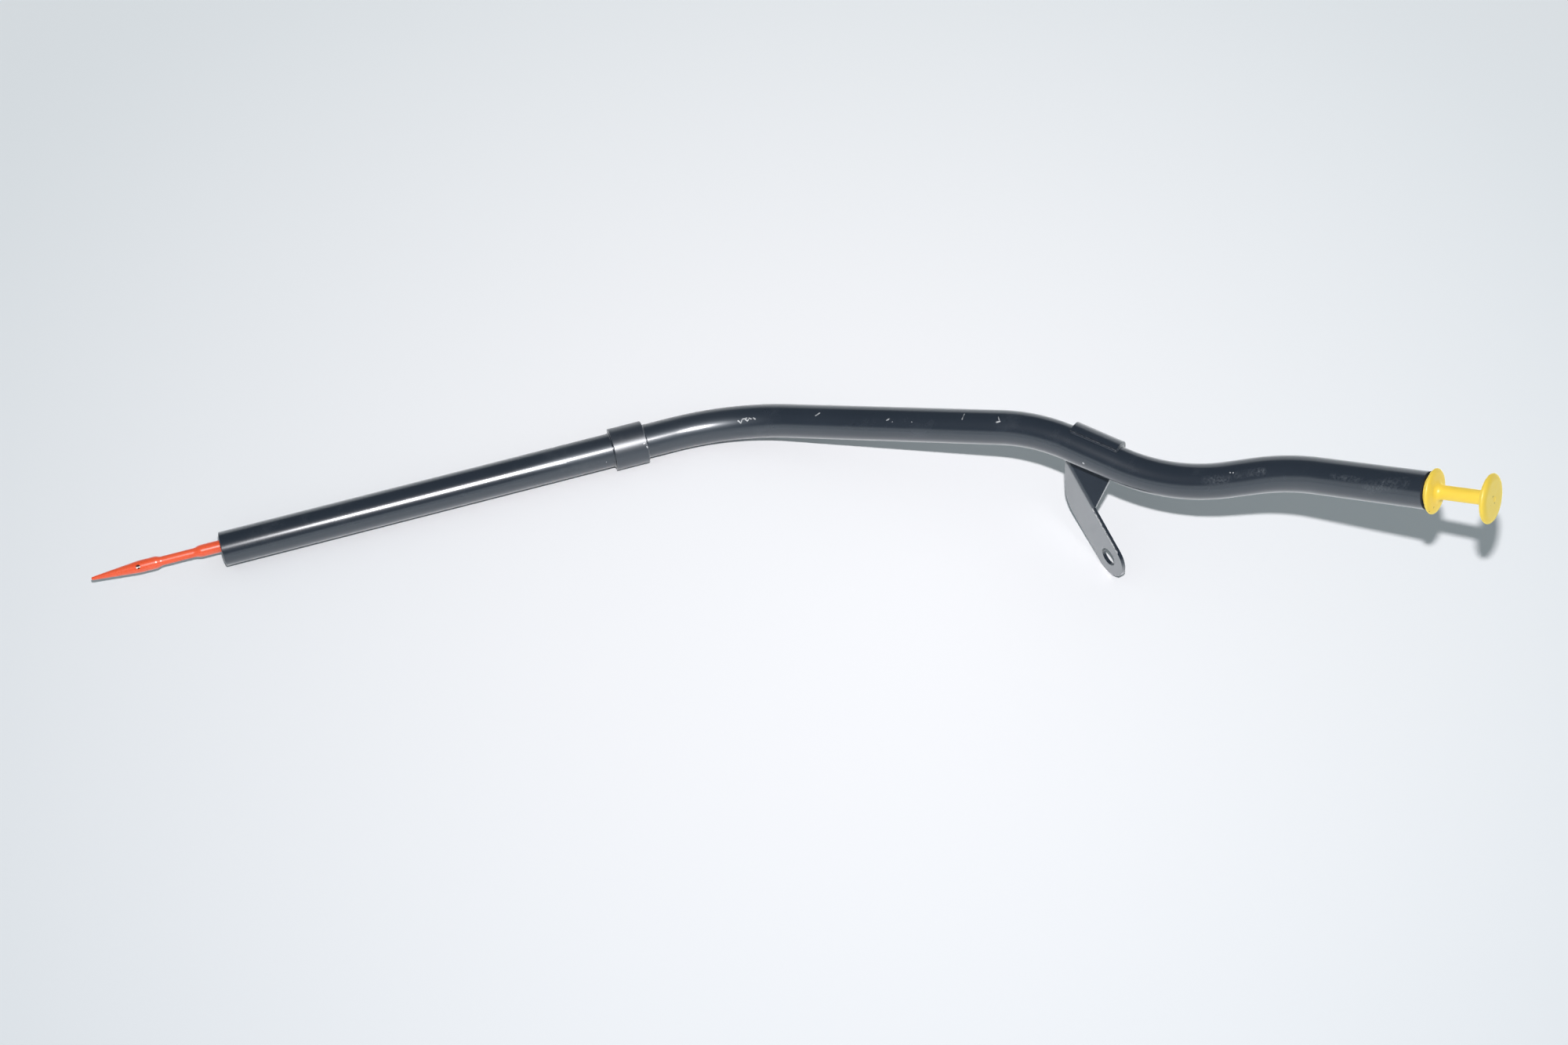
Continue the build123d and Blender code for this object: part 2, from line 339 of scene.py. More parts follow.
def smooth(piece, angle=meshing["smooth"]):
    choose(piece)
    bpy.ops.object.shade_smooth_by_angle(angle=radians(angle))
    even = piece.modifiers.new("evenShading", "WEIGHTED_NORMAL")  # wide faces stay flat beside a rounded edge
    even.keep_sharp = True
    bpy.ops.object.modifier_apply(modifier=even.name)


# the guide tube's centre line: straight runs with their headings, joined by one bend radius
route = {
    "start": (-247.53, -10.67, 10.0), "bend": 90.0,
    "runs": [  # length in mm, then turn and climb in degrees
        (245.2, 17.6, 0.0), (150.5, -15.0, 16.8), (67.1, -31.4, 3.1),
        (51.8, -10.4, 27.7), (64.4, -30.2, 25.8),
    ],
}
headings = [heading(turn, climb) for _, turn, climb in route["runs"]]
corners = [Vector(route["start"]) * mm]
for (length, _, _), way in zip(route["runs"], headings):
    corners.append(corners[-1] + way * length * mm)
lowerEnd, mouth = corners[0], corners[-1]
lowerDir, mouthDir = headings[0], headings[-1]
saddleCorner, saddleDir = corners[2], headings[2]  # the run that carries the bracket


def levelSide(run):  # the level direction to the left of a run
    return heading(route["runs"][run][1] + 90, 0)


tubeShape = {
    "radius": 8.0, "wall": 1.2, "edge": 0.3, "edgeSteps": 3, "edgeAngle": 60,
    "sides": 96, "bendStep": 2.0, "leastSteps": 4,
}


def makeTube():
    piece = startRing("paintedTube", tubeShape["sides"], tubeShape["radius"] * mm, lowerEnd, lowerDir)
    used = 0.0  # the length of a run that the bend before it took up
    bend = route["bend"] * mm
    for index in range(len(headings) - 1):
        before, after = headings[index], headings[index + 1]
        turn = before.angle(after)
        tangent = bend * tan(turn / 2)
        pushRing(before * (route["runs"][index][0] * mm - used - tangent))
        axis = before.cross(after).normalized()
        bendStart = corners[index + 1] - before * tangent
        steps = max(tubeShape["leastSteps"], round(turn / radians(tubeShape["bendStep"])))
        bpy.ops.mesh.spin(steps=steps, angle=-turn, center=bendStart + axis.cross(before) * bend, axis=axis)
        used = tangent
    pushRing(mouthDir * (route["runs"][-1][0] * mm - used))
    faceOut()
    bpy.ops.object.mode_set(mode="OBJECT")
    thicken(piece, tubeShape["wall"])
    softEdges(piece, tubeShape)
    applyAll(piece)
    smooth(piece)
    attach(piece, "tube")
    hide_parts("guide_tube")
    return piece


collarShape = {
    "station": 185.5, "length": 16.0, "radius": 10.0, "wall": 1.95,
    "edge": 0.35, "edgeSteps": 4, "edgeAngle": 60, "sides": 96,
}


def makeCollar():
    place = lowerEnd + lowerDir * collarShape["station"] * mm
    piece = startRing("stopCollar", collarShape["sides"], collarShape["radius"] * mm, place, lowerDir)
    pushRing(lowerDir * collarShape["length"] * mm)
    faceOut()
    bpy.ops.object.mode_set(mode="OBJECT")
    thicken(piece, collarShape["wall"])
    softEdges(piece, collarShape)
    applyAll(piece)
    smooth(piece)
    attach(piece, "tube")
    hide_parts("stop_collar")
    return piece


bracketShape = {
    "merge": 0.005, "flat": 0.6, "edge": 0.38, "edgeSteps": 3, "edgeAngle": 45,
    "wrapSpan": (16.9, 39.1), "wrapOutside": (9.5, 10.2), "swell": 0.6,
}


def makeBracket():
    piece = bpy.data.objects.new("foldedBracket", nodes["bracket"].data.copy())
    scene.collection.objects.link(piece)
    choose(piece)
    bpy.ops.mesh.customdata_custom_splitnormals_clear()
    bpy.ops.object.mode_set(mode="EDIT")
    bpy.ops.mesh.select_all(action="SELECT")
    bpy.ops.mesh.remove_doubles(threshold=bracketShape["merge"] * mm)
    bpy.ops.mesh.dissolve_limited(angle_limit=radians(bracketShape["flat"]))
    bpy.ops.mesh.normals_make_consistent(inside=False)
    wrapStart, wrapEnd = bracketShape["wrapSpan"]
    low, high = bracketShape["wrapOutside"]

    def onWrap(co):  # the outside of the part that wraps the tube
        offset = (co - saddleCorner) / mm
        station = offset.dot(saddleDir)
        return wrapStart < station < wrapEnd and low < (offset - saddleDir * station).length < high

    pick(piece, onWrap)
    bpy.ops.transform.shrink_fatten(value=bracketShape["swell"] * mm)
    bpy.ops.object.mode_set(mode="OBJECT")
    softEdges(piece, bracketShape)
    applyAll(piece)
    smooth(piece)
    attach(piece, "tube")
    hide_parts("bracket")
    return piece


handleShape = {
    "sides": 96, "ridge": 0.07, "ridgeSpan": (0.1, 27.2), "ridgeInside": 2.9, "rimSteps": 12,
    "stem": [  # height along the mouth's axis, radius and rounding, from the wire's seat outwards
        (-6.95, 1.05, 0), (-25.0, 1.05, 0.15), (-25.0, 5.25, 0.2), (-23.8, 6.45, 0.25),
        (-20.2, 6.45, 0.15), (-20.2, 4.65, 0.2), (-17.8, 4.65, 0.2), (-17.8, 6.45, 0.15),
        (-12.2, 6.45, 0.15), (-12.2, 4.65, 0.2), (-9.8, 4.65, 0.2), (-9.8, 6.45, 0.15), (0.7, 6.45, 0),
    ],
    "innerFlange": (0.7, 3.45, 9.65, 6.6), "outerFlange": (24.25, 27.35, 10.5, 7.3),
    "neck": [(3.45, 3.05, 2.4), (24.25, 3.05, 2.0)], "gate": [(27.35, 1.2, 0.12), (27.2, 1.2, 0.1)],
}


def roundRim(low, high, outside, inside):  # rings of a flange rim that is half an ellipse
    steps = handleShape["rimSteps"]
    middle, half = (low + high) / 2, (high - low) / 2
    turns = [pi * (step / steps - 0.5) for step in range(steps + 1)]
    return [(middle + half * sin(turn), inside + (outside - inside) * cos(turn), 0) for turn in turns]


def makeHandle():
    rings = handleShape["stem"] + roundRim(*handleShape["innerFlange"]) + handleShape["neck"]
    rings += roundRim(*handleShape["outerFlange"]) + handleShape["gate"]
    piece = turned("spoolHandle", handleShape["sides"], rings)
    low, high = handleShape["ridgeSpan"]

    def onParting(co):  # on the outside, where the halves of the mould meet
        onPlane = abs(co.y) < meshing["near"] * mm and low * mm < co.z < high * mm
        return onPlane and co.xy.length > handleShape["ridgeInside"] * mm

    pick(piece, onParting)
    bpy.ops.transform.shrink_fatten(value=handleShape["ridge"] * mm)  # the mould's parting line
    stand(piece, mouth, mouthDir)
    smooth(piece)
    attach(piece, "handle")
    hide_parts("handle")
    return piece


tipShape = {
    "point": (-305.01, -26.9104, 10.0), "sides": 72, "hole": 21.5, "holeRadius": 1.0,
    "holeDir": (0.1691, -0.533, 0.829), "drillSides": 48, "drillLength": 12.0,
    "rings": [  # distance from the point, radius and rounding, then back inside along the wire's bore
        (0.0, 0.72, 0.6), (21.8, 2.85, 1.5), (29.8, 2.85, 0.6), (31.8, 2.1, 0.6), (47.4, 2.1, 0.7),
        (49.8, 2.85, 0.7), (89.7, 2.85, 0.4), (89.7, 1.05, 0.15), (19.9, 1.05, 0),
    ],
}
tipPoint = Vector(tipShape["point"]) * mm


def makeTip():
    piece = turned("stickTip", tipShape["sides"], tipShape["rings"])
    stand(piece, tipPoint, lowerDir)
    holeDir = Vector(tipShape["holeDir"]).normalized()
    deselect()
    bpy.ops.mesh.primitive_cylinder_add(
        vertices=tipShape["drillSides"], radius=tipShape["holeRadius"] * mm,
        depth=tipShape["drillLength"] * mm, location=tipPoint + lowerDir * tipShape["hole"] * mm,
        rotation=holeDir.to_track_quat("Z", "Y").to_euler())
    drill = bpy.context.object
    cut = piece.modifiers.new("crossHole", "BOOLEAN")
    cut.operation = "DIFFERENCE"
    cut.solver = "EXACT"
    cut.object = drill
    applyAll(piece)
    bpy.data.objects.remove(drill)
    smooth(piece)
    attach(piece, "tip")
    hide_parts("tip")
    return piece


beadShape = {  # each seat is the share of a bead's radius by which its middle stands off
    "sides": 12, "step": 0.5, "ripple": 0.34, "grain": 1.5,
    "saddleStart": 17.0, "saddleLength": 22.0, "frontAngle": 90.6, "backAngle": -34.0,
    "frontRadius": 0.5, "frontSeat": 0.4, "endRadius": 0.5, "endSeat": 0.6,
    "collarRadius": 0.34, "collarSeat": 0.5, "ringSeat": 0.5,
}


def roughen(piece, ripple):  # uneven like a run of braze under paint
    closeEnds()
    bpy.ops.object.mode_set(mode="OBJECT")
    cloud = bpy.data.textures.new(piece.name, "CLOUDS")
    cloud.noise_scale = beadShape["grain"] * mm
    wave = piece.modifiers.new("ripple", "DISPLACE")
    wave.texture = cloud
    wave.texture_coords = "LOCAL"
    wave.strength = ripple * mm
    wave.mid_level = 0.5
    applyAll(piece)
    smooth(piece, meshing["roundSmooth"])
    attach(piece, "tube")
    return piece


def ringBead(name, centre, axes, angle, sweep, radius):  # a bead round the tube, swept on from the angle
    back, up, along = axes
    spot = back * cos(radians(angle)) + up * sin(radians(angle))
    way = (up * cos(radians(angle)) - back * sin(radians(angle))) * (1 if sweep > 0 else -1)
    start = centre + spot * (tubeShape["radius"] + beadShape["ringSeat"] * radius) * mm
    piece = startRing(name, beadShape["sides"], radius * mm, start, way)
    steps = round(abs(radians(sweep)) * tubeShape["radius"] / beadShape["step"])
    bpy.ops.mesh.spin(steps=steps, angle=-radians(sweep), center=centre, axis=along)
    return roughen(piece, beadShape["ripple"] * radius)


def saddleBeads():  # at both ends of the bracket's saddle and along its front edge
    along, back = saddleDir, levelSide(2)
    axes = (back, along.cross(back), along)
    start = saddleCorner + along * beadShape["saddleStart"] * mm
    end = start + along * beadShape["saddleLength"] * mm
    front, small = beadShape["frontAngle"], beadShape["endRadius"]
    sweep = beadShape["backAngle"] - front
    seat = along * beadShape["endSeat"] * small * mm
    lower = ringBead("saddleBeadLower", start - seat, axes, front, sweep, small)
    upper = ringBead("saddleBeadUpper", end + seat, axes, front, sweep, small)
    radius = beadShape["frontRadius"]
    spot = back * cos(radians(front)) + axes[1] * sin(radians(front))
    edge = start + spot * (tubeShape["radius"] + beadShape["frontSeat"] * radius) * mm
    piece = startRing("saddleBeadFront", beadShape["sides"], radius * mm, edge, along)
    steps = round(beadShape["saddleLength"] / beadShape["step"])
    for _ in range(steps):
        pushRing(along * beadShape["saddleLength"] / steps * mm)
    return [lower, upper, roughen(piece, beadShape["ripple"] * radius)]


def collarBeads():
    side, small = levelSide(0), beadShape["collarRadius"]
    axes = (side, lowerDir.cross(side), lowerDir)
    lower = lowerEnd + lowerDir * (collarShape["station"] - beadShape["collarSeat"] * small) * mm
    upper = lower + lowerDir * (collarShape["length"] + small) * mm
    return [
        ringBead("collarBeadLower", lower, axes, 0, 360, small),
        ringBead("collarBeadUpper", upper, axes, 0, 360, small),
    ]


wireShape = {  # each run is how far a point of the wire's route lies from a corner of the tube's
    "radius": 1.0, "sides": 24, "strands": 6, "valley": 0.8, "valleyWidth": 0.05, "lay": 13.0,
    "turnSteps": 24, "order": 3, "resolution": 24, "lean": 1.9, "grip": 7.0,
    "lowerRun": 60.0, "join": 92.0, "middleRun": 33.0, "saddleRun": 33.0, "dipRun": 26.0, "mouthRun": 30.0,
    "lowerBlend": (190.0, 30.0), "upperBlend": (88.0, 52.0),
}


def twistedWire(name, points):  # strands laid round each other, along a smooth route
    curve = bpy.data.curves.new(name + "Route", "CURVE")
    curve.dimensions = "3D"
    curve.resolution_u = wireShape["resolution"]
    line = curve.splines.new("NURBS")
    line.points.add(len(points) - 1)
    for spot, place in zip(line.points, points):
        spot.co = (*place, 1)
    line.order_u = wireShape["order"]
    line.use_endpoint_u = True
    path = bpy.data.objects.new(name + "Route", curve)
    scene.collection.objects.link(path)
    length = line.calc_length()
    piece = startRing(name, wireShape["sides"], wireShape["radius"] * mm)
    lobes = wireShape["strands"] / 2
    pick(piece, lambda co: abs(sin(lobes * atan2(co.y, co.x))) < wireShape["valleyWidth"])
    bpy.ops.transform.resize(value=(wireShape["valley"], wireShape["valley"], 1), center_override=(0, 0, 0))
    bpy.ops.object.mode_set(mode="OBJECT")
    turns = round(length / (wireShape["lay"] * mm))
    lay = piece.modifiers.new("lay", "SCREW")
    lay.axis = "Z"
    lay.screw_offset = length / turns
    lay.angle = 2 * pi
    lay.iterations = turns
    lay.steps = lay.render_steps = wireShape["turnSteps"]
    lay.use_merge_vertices = False
    applyAll(piece)
    bpy.ops.object.mode_set(mode="EDIT")
    closeEnds()
    bpy.ops.object.mode_set(mode="OBJECT")
    follow = piece.modifiers.new("follow", "CURVE")
    follow.object = path
    follow.deform_axis = "POS_Z"
    bpy.context.view_layer.update()
    applyAll(piece)
    bpy.data.objects.remove(path)
    smooth(piece, meshing["roundSmooth"])
    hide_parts("stick_cable")
    return piece


def makeWires():  # one length from the tip to the middle of the tube, and one from there to the handle
    boreEnd = tipShape["rings"][-1][0]
    firstBend = corners[1] + levelSide(0) * wireShape["lean"] * mm
    join = corners[1] + headings[1] * wireShape["join"] * mm
    lower = twistedWire("stickWireLower", [
        tipPoint + lowerDir * boreEnd * mm,
        firstBend - lowerDir * wireShape["lowerRun"] * mm,
        firstBend,
        join,
    ])
    upper = twistedWire("stickWireUpper", [
        join,
        corners[2] - headings[1] * wireShape["middleRun"] * mm,
        corners[2],
        corners[2] + headings[2] * wireShape["saddleRun"] * mm,
        corners[3],
        corners[3] + headings[3] * wireShape["dipRun"] * mm,
        corners[4],
        corners[4] + mouthDir * wireShape["mouthRun"] * mm,
        mouth - mouthDir * wireShape["grip"] * mm,
    ])
    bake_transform(lower)
    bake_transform(upper)
    return [lower, upper]


tube = makeTube()
collar = makeCollar()
beads = saddleBeads() + collarBeads()
bracket = makeBracket()
print("tube, collar, bracket and braze made")
spool = makeHandle()
tip = makeTip()
print("handle and tip made")
wires = makeWires()
print("wire laid")


# finish helpers: a mark's value is 1 on the mark and 0 off it
# in the looks below, a noise is scale, detail and roughness, and patches are a noise and its span
# torn is a noise's scale and a push in mm, flecks are scale, size and share, bump is mm and strength
noiseRange = (0.3, 0.7)  # where most of a noise's values lie
markCore = 0.35  # the share of a mark's width that is at full strength
fleckCore = 0.5  # and the same for a fleck


def newMaterial(name):
    material = bpy.data.materials.new(name)
    material.use_nodes = True
    tree = material.node_tree
    place = tree.nodes.new("ShaderNodeTexCoord").outputs["Object"]
    return material, tree, tree.nodes["Principled BSDF"], place


def cloudy(tree, place, scale, detail, roughness=0.5):
    cloud = tree.nodes.new("ShaderNodeTexNoise")
    cloud.inputs["Scale"].default_value = scale
    cloud.inputs["Detail"].default_value = detail
    cloud.inputs["Roughness"].default_value = roughness
    tree.links.new(place, cloud.inputs["Vector"])
    return cloud.outputs["Fac"]


def patchy(tree, place, noise, span):
    return rescale(tree, cloudy(tree, place, *noise), *span)


def ragged(tree, place, scale, amount):  # the place, pushed about so that a mark's edge isn't smooth
    cloud = tree.nodes.new("ShaderNodeTexNoise")
    cloud.inputs["Scale"].default_value = scale
    tree.links.new(place, cloud.inputs["Vector"])
    centred = vector(tree, "SUBTRACT", cloud.outputs["Color"], (0.5, 0.5, 0.5))
    return vector(tree, "ADD", place, vector(tree, "SCALE", centred, amount * mm))


def streak(tree, place, start, end, radius):  # a mark along the line between two points, or on one point
    start, end = Vector(start) * mm, Vector(end) * mm
    line = end - start
    if line.length == 0:
        gap = vector(tree, "DISTANCE", place, start)
    else:
        offset = vector(tree, "SUBTRACT", place, start)
        share = rescale(tree, vector(tree, "DOT_PRODUCT", offset, line / line.length_squared), 0, 1)
        gap = vector(tree, "DISTANCE", offset, vector(tree, "SCALE", line, share))
    return rescale(tree, gap, radius * mm, markCore * radius * mm)


def circle(tree, place, centre, axis, radius, width):  # a mark along a circle round the axis
    offset = vector(tree, "SUBTRACT", place, centre)
    rise = vector(tree, "DOT_PRODUCT", offset, axis)
    spread = figure(tree, "POWER", vector(tree, "LENGTH", offset, (0, 0, 0)), 2.0)
    spread = figure(tree, "SUBTRACT", spread, figure(tree, "POWER", rise, 2.0))
    gap = figure(tree, "SUBTRACT", figure(tree, "SQRT", spread, 0.0), radius * mm)
    gap = plus(tree, figure(tree, "POWER", gap, 2.0), figure(tree, "POWER", rise, 2.0))
    return rescale(tree, figure(tree, "SQRT", gap, 0.0), width * mm, markCore * width * mm)


def flecks(tree, place, scale, size, share):  # scattered specks: one in some cells of a grid
    cells = tree.nodes.new("ShaderNodeTexVoronoi")
    cells.inputs["Scale"].default_value = scale
    tree.links.new(place, cells.inputs["Vector"])
    dot = rescale(tree, cells.outputs["Distance"], size, fleckCore * size)
    split = tree.nodes.new("ShaderNodeSeparateColor")
    tree.links.new(cells.outputs["Color"], split.inputs[0])
    chosen = figure(tree, "LESS_THAN", split.outputs[0], share)
    return times(tree, dot, chosen)


def rough(tree, shader, height, distance, strength, coat=False):
    bump = tree.nodes.new("ShaderNodeBump")
    bump.inputs["Distance"].default_value = distance * mm
    bump.inputs["Strength"].default_value = strength
    tree.links.new(height, bump.inputs["Height"])
    tree.links.new(bump.outputs["Normal"], shader.inputs["Normal"])
    if coat:
        tree.links.new(bump.outputs["Normal"], shader.inputs["Coat Normal"])


paintLook = {
    "dark": (0.017, 0.025, 0.036), "light": (0.024, 0.033, 0.047), "bareMetalAndHighlight": (0.62, 0.64, 0.65),
    "dustAndHighlight": (0.19, 0.212, 0.232), "reflectionTone": (0.250, 0.268, 0.280), "mouthShadeAndFaceTone": (0.003, 0.003, 0.004),
    "roughness": (0.14, 0.23), "tint": (0.80, 0.92, 1.0), "coat": 1.0, "coatRoughness": 0.22, "coatIor": 1.6,
    "dullRoughness": (0.36, 0.46), "dullCoatRoughness": 0.37, "heat": (70.0, 32.0), "heatDull": 0.26,
    "dustDull": 0.35, "mouthShadeDull": 0.6, "chipDull": 0.2, "cloudGloss": 0.7, "grainGloss": 0.3,
    "cloud": (30, 5), "grain": (2600, 2), "peel": (480, 2), "torn": (1600, 0.4), "flecks": (95, 0.02, 0.16),
    "bump": (0.03, 0.06), "grainHeight": 0.12, "chipDepth": 1.5,
    "chips": [  # start, end and half width of each scrape, in mm
        ((-10.8, 55.3, 19.7), (-9.6, 54.4, 19.3), 0.4), ((-9.6, 54.4, 19.3), (-8.9, 55.6, 20.2), 0.4),
        ((-8.5, 55.8, 20.4), (-6.7, 56.0, 20.9), 0.4), ((-7.3, 55.4, 20.5), (-6.4, 54.7, 20.3), 0.36),
        ((-6.4, 54.7, 20.3), (-5.9, 55.3, 20.8), 0.36), ((-5.6, 55.8, 21.1), (-4.6, 55.4, 21.1), 0.36),
        ((-3.5, 55.6, 21.5), (-2.7, 55.0, 21.5), 0.4), ((25.8, 50.4, 30.5), (27.6, 51.3, 31.3), 0.34),
        ((58.3, 40.5, 40.3), (59.4, 40.8, 40.9), 0.3), ((60.8, 39.2, 40.8), (60.8, 39.2, 40.8), 0.32),
        ((69.6, 37.0, 43.6), (69.6, 37.0, 43.6), 0.32), ((92.0, 32.9, 51.3), (93.2, 35.7, 51.7), 0.22),
        ((107.1, 28.0, 55.8), (108.6, 28.0, 56.4), 0.42), ((108.0, 30.4, 56.4), (108.3, 28.7, 56.4), 0.24),
        ((204.2, -15.0, 77.6), (204.2, -15.0, 77.6), 0.4), ((205.4, -15.5, 78.2), (205.4, -15.5, 78.2), 0.4),
        ((-104.7, 30.1, 16.7), (-91.3, 33.6, 16.2), 0.4), ((-55.1, 43.5, 17.5), (-54.7, 43.8, 17.6), 0.42),
        ((-53.7, 42.8, 16.4), (-53.4, 42.5, 15.8), 0.42), ((144.6, 5.1, 56.0), (144.6, 5.1, 56.0), 0.7),
    ],
    "chipPatches": ((2200, 2), (0.30, 0.46)),
    "dusty": [  # the same for each patch of dust
        ((194.6, -15.2, 71.8), (202.9, -17.2, 75.8), 2.6), ((206.9, -16.9, 78.5), (216.6, -18.6, 83.8), 2.2),
        ((242.2, -30.9, 97.9), (251.8, -36.8, 103.1), 1.8),
        ((254.6, -40.4, 103.0), (266.6, -44.1, 111.9), 3.4),
    ],
    "dustGrain": ((900, 6, 0.75), (0.42, 0.78)), "dustPatches": ((160, 3), (0.35, 0.65, 0.1, 0.6)),
    "haze": ((75, 6, 0.65), (0.56, 0.80, 0, 0.10)),
    "edgeHighlights": [  # painted highlights on edges that catch the light: the saddle's front, then the arm's front
        ((139.6, 17.8, 62.6), (158.4, 6.4, 63.8), 0.6), ((151.3, -1.7, 29.4), (162.2, -18.9, 19.35), 0.6),
    ],
    "edgeHighlightPatches": ((900, 3), (0.36, 0.56, 0.15, 0.85)),
    "rimInset": 0.2, "rimWidth": 0.45, "rimPatches": ((700, 3), (0.36, 0.62, 0, 0.5)),
    "armFace": (-0.8425, -0.5388, 0.0), "armReflectionSpan": (0.93, 0.99, 0, 0.75), "armPatches": (0.2, 0.8, 0.8, 1.1),
    "cutEndReflectionSpan": (0.8, 0.95, 0, 0.9), "mouthShadeSpan": (-0.85, -0.55),
}


def blackPaint(name, paintReflections=False, dull=False, mouthShadeAndHeat=False):
    look = paintLook
    material, tree, shader, place = newMaterial(name)
    cloud, grain, peel = (cloudy(tree, place, *look[noise]) for noise in ("cloud", "grain", "peel"))
    torn = ragged(tree, place, *look["torn"])
    chips = strongest(tree, [streak(tree, torn, *chip) for chip in look["chips"]])
    chips = times(tree, chips, patchy(tree, place, *look["chipPatches"]))
    edgeHighlights = strongest(tree, [streak(tree, torn, *edge) for edge in look["edgeHighlights"]])
    edgeHighlights = times(tree, edgeHighlights, patchy(tree, place, *look["edgeHighlightPatches"]))
    # from here on chips also holds the painted edge highlights, so bare metal and highlight share one colour
    chips = strongest(tree, [chips, flecks(tree, place, *look["flecks"]), edgeHighlights])
    dusty = strongest(tree, [streak(tree, place, *patch) for patch in look["dusty"]])
    for patches in ("dustGrain", "dustPatches"):
        dusty = times(tree, dusty, patchy(tree, place, *look[patches]))
    # a painted highlight along the collar's upper rim
    collarTop = lowerEnd + lowerDir * (collarShape["station"] + collarShape["length"] - look["rimInset"]) * mm
    rimHighlight = circle(tree, torn, collarTop, lowerDir, collarShape["radius"] - look["rimInset"], look["rimWidth"])
    rimHighlight = times(tree, rimHighlight, patchy(tree, place, *look["rimPatches"]))
    # from here on dusty holds the dust and the painted rim highlight
    dusty = strongest(tree, [dusty, patchy(tree, place, *look["haze"]), rimHighlight])
    colour = mixed(tree, cloud, look["dark"], look["light"])
    colour = mixed(tree, dusty, colour, look["dustAndHighlight"])
    if paintReflections:  # painted reflection: a greyer tone where the arm's broad face and the saddle's cut end catch the light
        normal = tree.nodes.new("ShaderNodeTexCoord").outputs["Normal"]
        reflectionTone = rescale(tree, vector(tree, "DOT_PRODUCT", normal, look["armFace"]), *look["armReflectionSpan"])
        reflectionTone = times(tree, reflectionTone, rescale(tree, cloud, *look["armPatches"]))
        cutEndReflection = rescale(tree, vector(tree, "DOT_PRODUCT", normal, saddleDir), *look["cutEndReflectionSpan"])
        colour = mixed(tree, strongest(tree, [reflectionTone, cutEndReflection]), colour, look["reflectionTone"])
    colour = mixed(tree, chips, colour, look["bareMetalAndHighlight"])
    gloss = plus(tree, times(tree, cloud, look["cloudGloss"]), times(tree, grain, look["grainGloss"]))
    gloss = rescale(tree, gloss, *noiseRange, *look["dullRoughness" if dull else "roughness"])
    gloss = plus(tree, gloss, times(tree, dusty, look["dustDull"]))
    shader.inputs["Coat Weight"].default_value = look["coat"]
    if mouthShadeAndHeat:  # painted shade: a dark ring at the tube's mouth, where the handle's flange shades it, and duller paint where the collar was brazed on
        depth = vector(tree, "DOT_PRODUCT", vector(tree, "SUBTRACT", place, mouth), mouthDir)
        mouthShade = rescale(tree, depth, *(edge * mm for edge in look["mouthShadeSpan"]))
        colour = mixed(tree, mouthShade, colour, look["mouthShadeAndFaceTone"])
        tree.links.new(rescale(tree, mouthShade, 0, 1, look["coat"], 0.0), shader.inputs["Coat Weight"])
        far, near = look["heat"]
        apart = vector(tree, "DISTANCE", place, collarTop)
        heat = rescale(tree, apart, far * mm, near * mm, 0, look["heatDull"])
        gloss = plus(tree, gloss, strongest(tree, [heat, times(tree, mouthShade, look["mouthShadeDull"])]))
    gloss = plus(tree, gloss, times(tree, chips, look["chipDull"]))
    tree.links.new(colour, shader.inputs["Base Color"])
    tree.links.new(gloss, shader.inputs["Roughness"])
    shader.inputs["Specular Tint"].default_value = (*look["tint"], 1)
    shader.inputs["Coat Roughness"].default_value = look["dullCoatRoughness" if dull else "coatRoughness"]
    shader.inputs["Coat IOR"].default_value = look["coatIor"]
    height = plus(tree, peel, times(tree, grain, look["grainHeight"]))
    height = figure(tree, "SUBTRACT", height, times(tree, chips, look["chipDepth"]))
    rough(tree, shader, height, *look["bump"], coat=True)
    return material


yellowLook = {
    "deep": (1.0, 0.69, 0.050), "pale": (1.0, 0.75, 0.105), "mouthShadeAndFaceTone": (1.0, 0.80, 0.27),
    "dirt": (0.10, 0.065, 0.02), "dirtShare": 0.75, "roughness": (0.36, 0.50), "faceDull": 0.15,
    "sheen": 1.0, "sheenRoughness": 0.5, "sheenTint": (1.0, 0.82, 0.2),
    "cloud": (70, 4), "fine": (1100, 3), "torn": (1700, 0.8), "flecks": (330, 0.05, 0.05),
    "face": (27.25, 27.34), "facePatches": ((260, 5), (0.30, 0.75, 0.15, 0.6)),
    "bump": (0.03, 0.3), "cloudHeight": 2.0,
    "spots": [  # start, end and half width of each dirty mark, in mm
        ((278.6, -53.6, 107.9), (278.6, -53.6, 107.9), 0.55),
        ((276.4, -55.8, 107.8), (276.4, -55.8, 107.8), 0.5),
        ((283.1, -48.8, 104.9), (283.1, -48.8, 104.9), 0.5),
        ((297.8, -58.8, 123.1), (298.2, -58.2, 122.6), 0.45),
        ((299.2, -59.3, 119.8), (299.5, -59.2, 119.4), 0.4),
    ],
}


